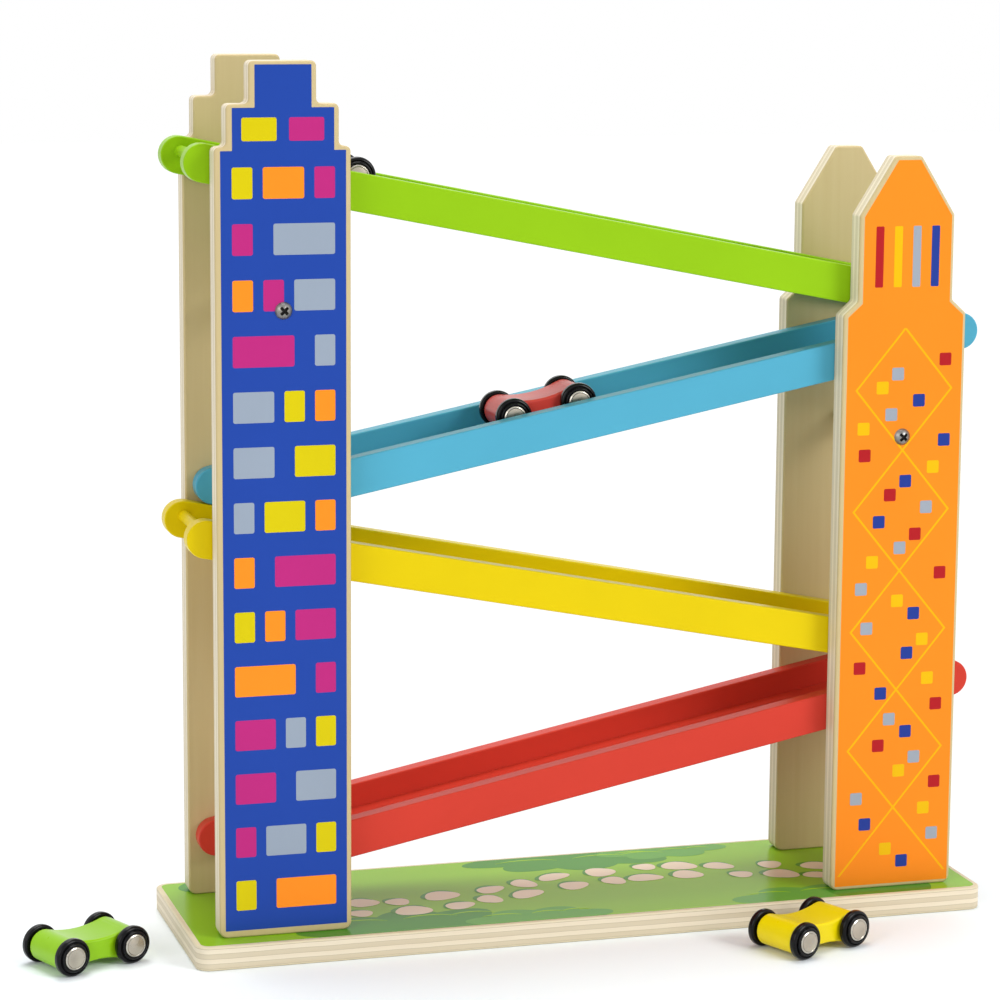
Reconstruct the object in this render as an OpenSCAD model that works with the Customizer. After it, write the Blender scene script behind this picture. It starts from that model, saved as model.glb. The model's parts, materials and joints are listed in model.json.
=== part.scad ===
// Click clack track toy: four sloping tracks between two towers on a base board,
// with two small cars on the tracks and two on the floor beside the board.
// All sizes are in millimetres. The origin is the middle of the base board's
// underside, with X to the right along the board, Y to the back and Z up.
// The tracks are numbered from the lowest up. An even one is high on the right.

/* [Base board] */
// Length of the board
base_length = 403; // [380:1:440]
// Thickness of the board
base_t = 11.7; // [10:0.1:16]
// Radius of the board's corners, seen from above
base_corner_r = 7; // [4:1:20]
// Board left free beside each tower
end_margin = 13.2; // [8:0.2:20]
// Board left free in front of the towers and behind them
side_margin = 12.3; // [6:0.1:20]

/* [Towers] */
// Width of each tower at its foot
tower_w = 64.6; // [60:0.2:72]
// Thickness of the four tower panels
panel_t = 11.7; // [10:0.1:14]
// Radius of the corners in the panels' outlines above the feet
panel_corner_r = 2.5; // [1:0.25:4]
// Radius of the corners at the panels' feet
foot_corner_r = 4; // [1:0.25:6]
// Left shoulder above the top track's centre line, at the tower's outer edge
left_shoulder_over = 8.4; // [6:0.1:20]
// Set-back of the left tower's middle step on each side
left_step_in = 5.6; // [4:0.1:10]
// Further set-back of the left tower's top step
left_top_in = 10.7; // [6:0.1:14]
// Height of each of the left tower's two steps
left_step_h = 19.7; // [10:0.1:30]
// Right shoulder above the blue track's centre line, at the tower's outer edge
right_shoulder_over = 11.1; // [8:0.1:16]
// Set-back of the right tower's neck on each side
neck_in = 7.4; // [4:0.1:9]
// Height of the slope from the right shoulder to the neck
neck_slope_h = 6.6; // [3:0.1:12]
// Height of the neck's straight sides
neck_h = 42.1; // [36:0.1:60]
// Height of the right tower's pointed roof
roof_h = 28.8; // [15:0.2:40]
// Width of the roof's flat tip
roof_tip_w = 13.8; // [6:0.1:20]

/* [Tracks] */
// Height from one track to the next
track_pitch = 88.4; // [84:0.2:96]
// Clear height between the board and the lowest rail ends
first_clear = 21.5; // [20:0.1:30]
// Height of the rails, square to the slope
rail_h = 18.2; // [17:0.1:20]
// Thickness of the rails
rail_t = 8.7; // [8:0.1:12]
// Clear width of the channel between two rails
channel_w = 47.7; // [44:0.1:54]
// Depth of the channel, from the rails' top edges to the floor
channel_depth = 11.65; // [10.5:0.05:12.5]
// Gap between a track's low end and the track under it
rail_gap = 0.3; // [0.2:0.1:3]
// Reach of the high ends past the tower
ear_out = 12; // [10:0.5:18]
// Distance of the low ends' tips from the tower's outer edge
low_inset = 3.5; // [2:0.5:10]
// Opening at a low end, from the tip back to the floor
drop_length = 55; // [54:0.5:60]
// Thickness of the track floors
floor_t = 4; // [3:0.5:5]
// Depth of the rail grooves that hold the floors
groove_depth = 2.5; // [1.5:0.25:3]
// Diameter of the stop dowels
stop_d = 5.5; // [4:0.5:7]
// Height of a stop dowel above the middle of the rails' high ends
stop_rise = 2; // [0:0.25:3]
// Depth of a stop dowel in each rail
stop_depth = 5; // [3:0.5:7]
// Open gap between a floor's high end and the stop dowel
floor_stop_gap = 3.3; // [1:0.1:6]

/* [Cross rods and fasteners] */
// Diameter of the cross rods
rod_d = 10; // [9:0.5:14]
// Height from the left rod up to the green track's centre line
left_rod_drop = 61.1; // [40:0.1:80]
// Height from the right rod up to the blue track's centre line
right_rod_drop = 43.2; // [35:0.1:80]
// Diameter of the pan head screws' shanks
rod_screw_d = 4.2; // [3:0.1:5]
// Length of the pan head screws under the head
rod_screw_len = 25; // [20:1:32]
// Diameter of the pan heads
rod_screw_head_d = 8.4; // [7:0.1:10]
// Height of the pan heads
rod_screw_head_h = 2.6; // [1.8:0.1:3.5]
// Diameter of the base screws' shanks
base_screw_d = 4; // [3:0.1:5]
// Length of the base screws, head included
base_screw_len = 30; // [25:1:32]
// Diameter of the base screws' countersunk heads
base_screw_head_d = 7.8; // [6.5:0.1:9]
// Distance between a panel's two base screws
base_screw_pitch = 40; // [30:1:48]
// Play of a screw in a clearance hole, all round
screw_play = 0.15; // [0.05:0.05:0.4]
// Diameter of the wooden pegs between rails and panels
peg_d = 6; // [4:0.5:7]
// Length of the pegs
peg_len = 12; // [8:0.5:14]
// Distance between a rail's two pegs at a tower
peg_pitch = 28; // [20:1:30]
// Height of the pegs above the rails' centre lines
peg_rise = 2.5; // [0.5:0.25:3.5]

/* [Cars] */
// Distance between the axles
wheelbase = 33.4; // [30:0.2:36]
// Width of the body
car_body_w = 23.7; // [22:0.1:28]
// Diameter of the body's round ends
car_end_d = 15.2; // [14:0.2:17]
// Height of the body's waist
car_waist_h = 10.2; // [6:0.1:12]
// Diameter of the wheels
wheel_d = 18.3; // [18:0.1:20]
// Width of the tyres
tyre_w = 4; // [3:0.25:5]
// Gap between the body and the wheels' flanks
flank_gap = 0.75; // [0.5:0.05:1.2]
// Diameter of the raised ring on a wheel
ring_d = 13.8; // [13.5:0.1:16]
// Height of the ring above the tyre's outer flank
ring_out = 0.9; // [0.8:0.1:2]
// Diameter of the axle caps
cap_d = 11; // [9:0.1:12]
// Height of the caps above the ring
cap_out = 0.7; // [0.4:0.1:1.4]
// Diameter of the axles
axle_d = 3; // [2.5:0.1:4]
// Play of an axle in the body's bore, all round
axle_play = 0.1; // [0.02:0.02:0.1]

/* [Places of the cars] */
// Red car's middle from the round of the blue track's high ends
red_car_in = 212.8; // [60:0.1:280]
// Blue car's middle from the round of the green track's high ends
blue_car_in = 61; // [50:0.1:280]
// Direction in which the two floor cars point, in degrees
floor_car_turn = 22.9; // [0:0.1:40]
// Yellow car's middle in front of the board
yellow_car_out = 35.4; // [34:0.1:80]
// Yellow car's middle from the board's right end
yellow_car_in = 108; // [40:0.1:200]
// Green car's middle beyond the board's left end
green_car_out = 48.1; // [45:0.1:90]
// Green car's middle in front of the board's middle line
green_car_ahead = 26.1; // [0:0.1:60]

/* [Hidden] */
$fn = 64;
// Length by which a cut runs past the face that it opens
overrun = 1;
// Straight pieces in a rounded corner
corner_steps = 6;
// Largest part of an edge that a rounded corner may take
corner_share = 0.48;

track_names = ["red", "yellow", "blue", "green"];
car_names = ["red", "green", "yellow", "blue"];
blue_track = 2;
green_track = 3;
left = -1;
right = 1;
front = -1;
back = 1;

// Main planes and places
panel_gap = channel_w + 2 * rail_t;
base_depth = panel_gap + 2 * panel_t + 2 * side_margin;
tower_x = base_length / 2 - end_margin - tower_w / 2;
tower_edge = tower_x + tower_w / 2;
panel_y = panel_gap / 2 + panel_t / 2;
rail_y = channel_w / 2 + rail_t / 2;

// Tracks: the slope lets each low end clear the track under it by rail_gap
rail_r = rail_h / 2;
low_x = tower_edge - low_inset - rail_r;
high_x = tower_edge + ear_out - rail_r;
slope = acos((rail_h + rail_gap) / norm([2 * low_x, track_pitch])) - atan2(2 * low_x, track_pitch);
low_run = low_x / cos(slope);
high_run = high_x / cos(slope);
first_z = base_t + first_clear + rail_r + low_x * tan(slope);
floor_top = rail_r - channel_depth;
floor_low_run = (low_x + rail_r - drop_length) / cos(slope);
floor_high_run = high_run - stop_d / 2 - floor_stop_gap;
stop_len = channel_w + 2 * stop_depth;
peg_end_gap = 0.3;

// Rods and screws
rod_z = [
    rail_z(green_track, tower_x) - left_rod_drop,
    rail_z(blue_track, tower_x) - right_rod_drop
];
pilot_end_gap = 1;
pan_head_r = rod_screw_head_d / 2;
pan_sphere_r = (pow(pan_head_r, 2) + pow(rod_screw_head_h, 2)) / (2 * rod_screw_head_h);
recess_w = 1.1;
recess_l = 4.8;
recess_depth = 1.5;
countersink_h = (base_screw_head_d - base_screw_d) / 2;
// Depth of the base screws' heads in the board's underside
base_screw_sink = 0.4;

// Cars
wheel_r = wheel_d / 2;
ring_r = ring_d / 2;
cap_r = cap_d / 2;
axle_r = axle_d / 2;
flank_in = car_body_w / 2 + flank_gap;
flank_out = flank_in + tyre_w;
ring_face = flank_out + ring_out;
cap_face = ring_face + cap_out;
// Boss that keeps a wheel's flank off the body
boss_r = 3;
boss_gap = 0.3;
// Play of a cap inside the wheel's ring, all round
cap_play = 0.2;
// Thickness left between the cap's seat and the tyre's outer flank
cap_seat_out = 0.3;
cap_seat = flank_out + cap_seat_out;
cap_dome_h = 0.6;
cap_rim = cap_face - cap_dome_h;
cap_sphere_r = (pow(cap_r, 2) + pow(cap_dome_h, 2)) / (2 * cap_dome_h);
tyre_edge_r = 1.2;
ring_edge_r = 0.5;
// Gap between a wheel and the track floor under it
ride_gap = 0.3;

// Colours as in the photograph
plywood = "#e3d3b0";
bare_wood = "#dcc697";
tower_blue = "#2b46a0";
tower_orange = "#f79234";
board_green = "#8fb63a";
paints = ["#dc483a", "#ecd400", "#62b4d0", "#8ccc28"];
car_paints = ["#d04a48", "#8ccc28", "#ecd400", "#3c78c0"];
wheel_black = "#1c1c20";
nickel = "#c6c6c8";
steel = "#a8a8a8";

// Height of a track's centre line at a distance from the middle towards its high end
function rail_z(track, towards_high) = first_z + track * track_pitch + towards_high * tan(slope);

// Direction, in a track's own frame, in which a tower lies
function end_at(track, side) = track % 2 == 0 ? side : -side;

// One rounded corner of an outline: an arc that touches both edges, or the bare corner
function corner(before, at, after, r) =
    let (
        a = (before - at) / norm(before - at),
        b = (after - at) / norm(after - at),
        half = acos(a * b) / 2,
        limit = corner_share * min(norm(before - at), norm(after - at)),
        reach = min(r / tan(half), limit),
        arc_r = reach * tan(half),
        centre = at + (a + b) / norm(a + b) * arc_r / sin(half),
        start = at + a * reach - centre,
        end = at + b * reach - centre,
        turn = 180 - 2 * half
    )
    r == 0 ? [at] : [
        for (step = [0:corner_steps])
            let (t = step / corner_steps)
            centre + (start * sin((1 - t) * turn) + end * sin(t * turn)) / sin(turn)
    ];

// A closed outline with each corner rounded to its own radius
function rounded(points, radii) = [
    for (i = [0:len(points) - 1])
        each corner(
            points[(i + len(points) - 1) % len(points)],
            points[i],
            points[(i + 1) % len(points)],
            radii[i]
        )
];

// Puts children in a track's frame: X up the slope from the middle, Z square to the floor
module on_track(track) {
    translate([0, 0, rail_z(track, 0)])
        mirror([track % 2, 0, 0])
            rotate([0, -slope, 0])
                children();
}

// Extrudes a side outline, drawn in X and Z, to a thickness about Y = 0
module upright(thickness) {
    rotate([90, 0, 0])
        linear_extrude(thickness, center = true)
            children();
}

// A cylinder along Y about the origin
module cross_cylinder(d, length) {
    rotate([90, 0, 0])
        cylinder(d = d, h = length, center = true);
}

// Base board with countersunk holes from below
module base_board() {
    straight_x = base_length - 2 * base_corner_r;
    straight_y = base_depth - 2 * base_corner_r;
    color(board_green)
        difference() {
            linear_extrude(base_t) {
                square([base_length, straight_y], center = true);
                square([straight_x, base_depth], center = true);
                for (sx = [left, right], sy = [front, back])
                    translate([sx * straight_x / 2, sy * straight_y / 2])
                        circle(r = base_corner_r);
            }
            at_base_screws() {
                translate([0, 0, -overrun])
                    cylinder(d = base_screw_d + 2 * screw_play, h = base_t + 2 * overrun);
                translate([0, 0, -overrun])
                    cylinder(d = base_screw_head_d, h = base_screw_sink + overrun);
                translate([0, 0, base_screw_sink])
                    cylinder(d1 = base_screw_head_d, d2 = base_screw_d, h = countersink_h);
            }
        }
}

// Places of the eight base screws, at the underside
module at_base_screws() {
    for (sx = [left, right], sy = [front, back], step = [-1, 1])
        translate([sx * tower_x + step * base_screw_pitch / 2, sy * panel_y, 0])
            children();
}

// Outline of the left tower above the board, about its middle line
function stepped_outline() =
    let (
        foot = tower_w / 2,
        middle = foot - left_step_in,
        top = middle - left_top_in,
        shoulder = rail_z(green_track, tower_edge) + left_shoulder_over - base_t
    )
    [
        [-foot, 0],
        [foot, 0],
        [foot, shoulder],
        [middle, shoulder],
        [middle, shoulder + left_step_h],
        [top, shoulder + left_step_h],
        [top, shoulder + 2 * left_step_h],
        [-top, shoulder + 2 * left_step_h],
        [-top, shoulder + left_step_h],
        [-middle, shoulder + left_step_h],
        [-middle, shoulder],
        [-foot, shoulder]
    ];

// Outline of the right tower above the board, about its middle line
function pointed_outline() =
    let (
        foot = tower_w / 2,
        neck = foot - neck_in,
        tip = roof_tip_w / 2,
        shoulder = rail_z(blue_track, tower_edge) + right_shoulder_over - base_t,
        collar = shoulder + neck_slope_h,
        eaves = collar + neck_h
    )
    [
        [-foot, 0],
        [foot, 0],
        [foot, shoulder],
        [neck, collar],
        [neck, eaves],
        [tip, eaves + roof_h],
        [-tip, eaves + roof_h],
        [-neck, eaves],
        [-neck, collar],
        [-foot, shoulder]
    ];

// One tower panel, with the holes for its pegs, rod screw and base screws
module panel(tower, face) {
    outline = tower == left ? stepped_outline() : pointed_outline();
    radii = [for (point = outline) point[1] == 0 ? foot_corner_r : panel_corner_r];
    color(face == back ? plywood : tower == left ? tower_blue : tower_orange)
        difference() {
            translate([tower * tower_x, face * panel_y, base_t])
                upright(panel_t)
                    polygon(rounded(outline, radii));
            for (track = [0:len(track_names) - 1])
                pegs(track, face, end_at(track, tower), peg_end_gap);
            at_rod(tower)
                translate([0, face * panel_y, 0])
                    cross_cylinder(rod_screw_d + 2 * screw_play, panel_t + 2 * overrun);
            at_base_screws()
                cylinder(d = base_screw_d, h = base_screw_len + base_screw_sink + pilot_end_gap);
        }
}

// Puts children at the middle of a tower's cross rod
module at_rod(tower) {
    translate([tower * tower_x, 0, rod_z[(tower + 1) / 2]])
        children();
}

// Round rod between a tower's panels, with a pilot hole in each end
module cross_rod(tower) {
    pilot_depth = rod_screw_len - panel_t + pilot_end_gap;
    color(bare_wood)
        at_rod(tower)
            difference() {
                cross_cylinder(rod_d, panel_gap);
                for (face = [front, back])
                    translate([0, face * (panel_gap / 2 + overrun - (pilot_depth + overrun) / 2), 0])
                        cross_cylinder(rod_screw_d, pilot_depth + overrun);
            }
}

// Pan head screw with a cross recess: its head sits on Z = 0 and its shank points down
module pan_screw() {
    difference() {
        union() {
            intersection() {
                translate([0, 0, rod_screw_head_h - pan_sphere_r])
                    sphere(r = pan_sphere_r);
                cylinder(r = pan_head_r, h = rod_screw_head_h);
            }
            translate([0, 0, -rod_screw_len])
                cylinder(d = rod_screw_d, h = rod_screw_len + rod_screw_head_h / 2);
        }
        for (turn = [45, 135])
            rotate([0, 0, turn])
                translate([-recess_l / 2, -recess_w / 2, rod_screw_head_h - recess_depth])
                    cube([recess_l, recess_w, recess_depth + overrun]);
    }
}

// The four screws that hold the cross rods
module rod_screws() {
    color(steel)
        for (tower = [left, right], face = [front, back])
            at_rod(tower)
                translate([0, face * (panel_gap / 2 + panel_t), 0])
                    rotate([-face * 90, 0, 0])
                        pan_screw();
}

// The eight countersunk screws that hold the panels on the board
module base_screws() {
    color(steel)
        at_base_screws()
            translate([0, 0, base_screw_sink]) {
                cylinder(d1 = base_screw_head_d, d2 = base_screw_d, h = countersink_h);
                cylinder(d = base_screw_d, h = base_screw_len);
            }
}

// Two pegs at one end of one rail, in the toy's frame, longer by a gap at both ends
module pegs(track, face, end, gap = 0) {
    on_track(track)
        for (step = [-1, 1])
            translate([
                end * (tower_x + step * peg_pitch / 2) / cos(slope),
                face * panel_gap / 2,
                peg_rise
            ])
                cross_cylinder(peg_d, peg_len + 2 * gap);
}

// The pegs of all rails
module track_pegs() {
    color(bare_wood)
        for (track = [0:len(track_names) - 1], face = [front, back], end = [-1, 1])
            pegs(track, face, end);
}

// Stop dowel across the high end of a track, in the track's frame
module stop_dowel() {
    translate([high_run, 0, stop_rise])
        cross_cylinder(stop_d, stop_len);
}

// The stop dowels of the tracks that are high at one tower
module track_stops(tower) {
    for (track = [0:len(track_names) - 1])
        if (end_at(track, tower) == 1)
            color(paints[track])
                on_track(track)
                    stop_dowel();
}

// Floor plank of a track, in the track's frame
module floor_plank() {
    translate([-floor_low_run, -channel_w / 2 - groove_depth, floor_top - floor_t])
        cube([floor_low_run + floor_high_run, channel_w + 2 * groove_depth, floor_t]);
}

// Floor of one track
module track_floor(track) {
    color(paints[track])
        on_track(track)
            floor_plank();
}

// One rail with round ends, grooved for the floor and drilled for stop and pegs
module rail(track, face) {
    color(paints[track])
        difference() {
            on_track(track)
                difference() {
                    translate([0, face * rail_y, 0])
                        upright(rail_t) {
                            translate([-low_run, -rail_r])
                                square([low_run + high_run, rail_h]);
                            translate([-low_run, 0])
                                circle(r = rail_r);
                            translate([high_run, 0])
                                circle(r = rail_r);
                        }
                    floor_plank();
                    stop_dowel();
                }
            for (end = [-1, 1])
                pegs(track, face, end, peg_end_gap);
        }
}

// Puts children on a car's place on a track: X down the slope, Z up from the wheels' foot
module on_track_floor(track, run) {
    translate([0, 0, rail_z(track, 0)])
        rotate([0, 0, track % 2 == 0 ? 180 : 0])
            rotate([0, slope, 0])
                translate([-run, 0, floor_top + ride_gap])
                    children();
}

// Puts children on a car's place: X ahead of the car, Z up from the wheels' foot
module at_car(name) {
    if (name == "red")
        on_track_floor(blue_track, high_run - red_car_in)
            children();
    if (name == "blue")
        on_track_floor(green_track, high_run - blue_car_in)
            children();
    if (name == "yellow")
        translate([base_length / 2 - yellow_car_in, -base_depth / 2 - yellow_car_out, 0])
            rotate([0, 0, floor_car_turn])
                children();
    if (name == "green")
        translate([-base_length / 2 - green_car_out, -green_car_ahead, 0])
            rotate([0, 0, floor_car_turn])
                children();
}

// Puts children at the middle of a car's front or rear axle
module at_axle(name, end) {
    at_car(name)
        translate([(end == "front" ? 1 : -1) * wheelbase / 2, 0, wheel_r])
            children();
}

// Side outline of a car body: two round ends joined by a waist with hollow flanks
module body_outline() {
    end_r = car_end_d / 2;
    waist = car_waist_h / 2;
    flank_r = (pow(wheelbase / 2, 2) + pow(waist, 2) - pow(end_r, 2)) / (2 * (end_r - waist));
    touch_share = flank_r / (flank_r + end_r);
    touch_x = wheelbase / 2 * touch_share;
    touch_z = end_r * (waist + flank_r) / (flank_r + end_r);
    difference() {
        square([2 * touch_x, 2 * touch_z], center = true);
        for (side = [-1, 1])
            translate([0, side * (waist + flank_r)])
                circle(r = flank_r, $fn = 180);
    }
    for (side = [-1, 1])
        translate([side * wheelbase / 2, 0])
            circle(r = end_r);
}

// Car body with its two axle bores
module car_body(name, paint) {
    color(paint)
        at_car(name)
            translate([0, 0, wheel_r])
                difference() {
                    upright(car_body_w)
                        body_outline();
                    for (side = [-1, 1])
                        translate([side * wheelbase / 2, 0, 0])
                            cross_cylinder(axle_d + 2 * axle_play, car_body_w + 2 * overrun);
                }
}

// Axle pin
module car_axle(name, end) {
    color(steel)
        at_axle(name, end)
            cross_cylinder(axle_d, 2 * cap_rim);
}

// Wheel: tyre, raised ring round the cap's seat and a boss on the inner flank
module car_wheel(name, end, side) {
    section = [
        [axle_r, flank_in - flank_gap + boss_gap],
        [boss_r, flank_in - flank_gap + boss_gap],
        [boss_r, flank_in],
        [wheel_r, flank_in],
        [wheel_r, flank_out],
        [ring_r, flank_out],
        [ring_r, ring_face],
        [cap_r + cap_play, ring_face],
        [cap_r + cap_play, cap_seat],
        [axle_r, cap_seat]
    ];
    radii = [0, 0, 0, tyre_edge_r, tyre_edge_r, 0, ring_edge_r, ring_edge_r, 0, 0];
    color(wheel_black)
        at_axle(name, end)
            rotate([-side * 90, 0, 0])
                rotate_extrude()
                    polygon(rounded(section, radii));
}

// The two domed caps on an axle's ends
module axle_caps(name, end) {
    color(nickel)
        at_axle(name, end)
            for (side = [-1, 1])
                rotate([-side * 90, 0, 0])
                    difference() {
                        intersection() {
                            translate([0, 0, cap_seat])
                                cylinder(r = cap_r, h = cap_face - cap_seat);
                            translate([0, 0, cap_face - cap_sphere_r])
                                sphere(r = cap_sphere_r, $fn = 180);
                        }
                        translate([0, 0, cap_seat - overrun])
                            cylinder(r = axle_r, h = cap_rim - cap_seat + overrun);
                    }
}

base_board();
panel(left, front);  // left_front_panel
panel(left, back);  // left_back_panel
panel(right, front);  // right_front_panel
panel(right, back);  // right_back_panel
cross_rod(left);  // left_cross_rod
cross_rod(right);  // right_cross_rod
rod_screws();
base_screws();
track_pegs();
track_stops(left);  // left_track_stops
track_stops(right);  // right_track_stops
for (track = [0:len(track_names) - 1]) {
    prefix = str(track_names[track], "_track_");
    rail(track, front);
    rail(track, back);
    track_floor(track);
}
for (car = [0:len(car_names) - 1]) {
    name = car_names[car];
    car_body(name, car_paints[car]);
    for (end = ["front", "rear"]) {
        prefix = str(name, "_car_", end, "_");
        car_axle(name, end);
        car_wheel(name, end, 1);
        car_wheel(name, end, -1);
        axle_caps(name, end);
    }
}
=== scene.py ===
"""Looks of the click clack track toy: plywood towers and board, painted tracks, small rolling cars."""
import json
import math
from collections import namedtuple

import bpy
import numpy as np
from mathutils import Matrix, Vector
from mathutils.geometry import tessellate_polygon


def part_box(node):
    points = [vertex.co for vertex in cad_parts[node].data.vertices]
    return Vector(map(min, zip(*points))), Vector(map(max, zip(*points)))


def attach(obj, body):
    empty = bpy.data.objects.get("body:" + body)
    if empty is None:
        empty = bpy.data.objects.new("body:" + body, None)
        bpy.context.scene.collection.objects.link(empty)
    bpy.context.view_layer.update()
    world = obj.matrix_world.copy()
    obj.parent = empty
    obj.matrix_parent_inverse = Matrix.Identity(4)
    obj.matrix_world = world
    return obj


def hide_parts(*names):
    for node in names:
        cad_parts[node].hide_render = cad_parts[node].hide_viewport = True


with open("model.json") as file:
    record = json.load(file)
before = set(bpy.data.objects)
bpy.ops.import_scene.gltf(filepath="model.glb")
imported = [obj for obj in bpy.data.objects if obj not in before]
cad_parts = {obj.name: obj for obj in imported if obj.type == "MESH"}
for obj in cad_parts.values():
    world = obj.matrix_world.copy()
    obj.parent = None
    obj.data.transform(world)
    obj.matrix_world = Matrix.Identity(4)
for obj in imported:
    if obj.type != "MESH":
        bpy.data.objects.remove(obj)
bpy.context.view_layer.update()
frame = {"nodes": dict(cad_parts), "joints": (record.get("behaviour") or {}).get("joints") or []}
MM = 0.001
BLACK = (0, 0, 0, 1)
WHITE = (1, 1, 1, 1)
# The place of a drawing in X and Y with its thickness upwards
FLAT = np.eye(4)

# Sizes that the frame gives
joints = {joint["name"]: joint for joint in frame["joints"]}
board_low, board_high = [np.array(corner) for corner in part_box("base_board")]
front_low, front_high = [np.array(corner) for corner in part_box("left_front_panel")]
pointed_low, pointed_high = [np.array(corner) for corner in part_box("right_front_panel")]
tower_w = front_high[0] - front_low[0]
panel_t = front_high[1] - front_low[1]
left_middle = (front_low[0] + front_high[0]) / 2
right_middle = (pointed_low[0] + pointed_high[0]) / 2
channel_w = -2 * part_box("red_track_front_rail")[1][1]
wheelbase = np.linalg.norm(np.subtract(joints["red_car_front_axle_turn"]["pos_m"],
                                       joints["red_car_rear_axle_turn"]["pos_m"]))
screw_z = {}
for tower in ("left", "right"):
    rod_low, rod_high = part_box(f"{tower}_cross_rod")
    screw_z[tower] = (rod_low[2] + rod_high[2]) / 2

# Outlines of the towers and the board, as in the solids
panel_corner = 2.5 * MM
foot_corner = 4.0 * MM
left_step_in = 5.6 * MM
left_top_in = 10.7 * MM
left_step_h = 19.7 * MM
neck_in = 7.4 * MM
neck_slope_h = 6.6 * MM
neck_h = 42.1 * MM
roof_h = 28.8 * MM
roof_tip_w = 13.8 * MM
board_corner = 7 * MM

# Tracks, as in the solids
rail_r = 9.1 * MM
channel_depth = 11.65 * MM
floor_t = 4.0 * MM
drop_length = 55.0 * MM
stop_r = 2.75 * MM
stop_rise = 2.0 * MM
floor_stop_gap = 3.3 * MM
seat_in_rail = 2.5 * MM

# Cars, as in the solids
body_w = 23.7 * MM
body_end_r = 7.6 * MM
body_waist_h = 10.2 * MM
wheel_r = 9.15 * MM
tyre_w = 4.0 * MM
flank_gap = 0.75 * MM
boss_gap = 0.3 * MM
boss_r = 3.0 * MM
axle_r = 1.5 * MM
ring_r = 6.9 * MM
ring_out = 0.9 * MM
cap_r = 5.5 * MM
cap_out = 0.7 * MM
cap_play = 0.2 * MM
flank_in = body_w / 2 + flank_gap
flank_out = flank_in + tyre_w
ring_face = flank_out + ring_out
cap_seat = flank_out + 0.3 * MM

# Softened edges
panel_ease = 1.1 * MM
board_ease = 1.0 * MM
rail_ease = 0.8 * MM
floor_ease = 0.35 * MM
body_ease = 1.3 * MM

# Thin printed layers: one lies on the wood, and the next one on it
ink = 0.04 * MM
# Corner radii of a printed field, at its foot and above
field_corners = (0.3 * MM, 0.3 * MM)

Surface = namedtuple("Surface", "points normals faces grain")


def arcs(rows, steps):
    """Points and outward normals of a closed outline made of arcs that straight edges join.

    A row is (centre x, centre y, radius, first angle, last angle). Point = centre + radius * (cos a, sin a).
    A hollow arc runs backwards, and its normal points to its centre."""
    x, y, radius, first, last = np.array(rows, float).T[:, :, None]
    angle = first + (last - first) * np.linspace(0, 1, steps)
    ray = np.stack([np.cos(angle), np.sin(angle)], -1)
    points = np.stack([x + 0 * angle, y + 0 * angle], -1) + radius[..., None] * ray
    normals = ray * np.sign(last - first)[..., None]
    return points.reshape(-1, 2), normals.reshape(-1, 2)


def corners(points, radii, steps=7):
    """A closed polygon, anticlockwise, with each corner turned into an arc that touches both its edges.

    With half the corner's angle h, the arc starts radius / tan h away from the corner and its centre
    lies radius / sin h away, along the line that halves the corner."""
    at = np.array(points, float)
    radii = np.broadcast_to(np.asarray(radii, float), len(at))
    a = np.roll(at, 1, 0) - at
    b = np.roll(at, -1, 0) - at
    a /= np.linalg.norm(a, axis=1)[:, None]
    b /= np.linalg.norm(b, axis=1)[:, None]
    half = np.arccos((a * b).sum(1)) / 2
    middle = (a + b) / np.linalg.norm(a + b, axis=1)[:, None]
    centre = at + middle * (radii / np.sin(half))[:, None]
    start = at + a * (radii / np.tan(half))[:, None] - centre
    end = at + b * (radii / np.tan(half))[:, None] - centre
    first = np.arctan2(start[:, 1], start[:, 0])
    last = np.arctan2(end[:, 1], end[:, 0])
    convex = -a[:, 0] * b[:, 1] + a[:, 1] * b[:, 0] > 0
    last = np.where(convex, first + (last - first) % math.tau, first - (first - last) % math.tau)
    return arcs(np.column_stack([centre, radii, first, last]), steps)


def ring_quads(rows, columns, closed=False):
    """Quads of a grid whose columns run round, row by row. A closed one joins its last row to its first."""
    row = np.arange(rows if closed else rows - 1)[:, None] * columns
    after = (row + columns) % (rows * columns)
    column = np.arange(columns)[None, :]
    beside = (column + 1) % columns
    return np.stack([row + column, row + beside, after + beside, after + column], -1).reshape(-1, 4).tolist()


def moved(place, points, normals, faces, grain):
    """The surface put in its place by a 4 by 4 matrix."""
    turn = place[:3, :3]
    return Surface(points @ turn.T + place[:3, 3], normals @ turn.T, faces, grain)


def slab(outline, low, high, ease, place, along=0, cups=()):
    """A board cut to an outline, with both its edges rounded.

    Over an angle a from -90 to 90 degrees the wall's inset is ease * (1 - cos a), and its height runs
    from low to high by ease * sin a at each edge. The wood's grain runs along x, or along y where along
    is 1. Cups are round recesses in the low face, given as (x, y, radius, depth)."""
    rim, out = outline
    quarter = np.linspace(0, 90, 5) if ease > 0 else np.zeros(1)
    angle = np.radians(np.concatenate([-quarter[::-1], quarter]))
    below = np.arange(len(angle)) < len(angle) // 2
    height = np.where(below, low + ease * (1 + np.sin(angle)), high - ease * (1 - np.sin(angle)))
    inset = ease * (1 - np.cos(angle))
    count = len(rim)

    def rings(flat, level):
        return np.column_stack([flat.reshape(-1, 2), np.repeat(level, count)])

    points = rings(rim - inset[:, None, None] * out, height)
    wall = rings(np.cos(angle)[:, None, None] * out, np.sin(angle))
    faces = ring_quads(len(angle), count)
    if ease <= 0:
        points, wall, faces = with_caps(points, wall, count)
    else:
        faces.append(list(range((len(angle) - 1) * count, len(angle) * count)))
        if cups:
            points, wall, faces = with_cups(points, wall, faces, count, low, cups)
        else:
            faces.append(list(range(count))[::-1])
    grain = points[:, [along, 1 - along, 2]] - np.array([0, 0, low])
    return moved(place, points, wall, faces, grain)


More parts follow.
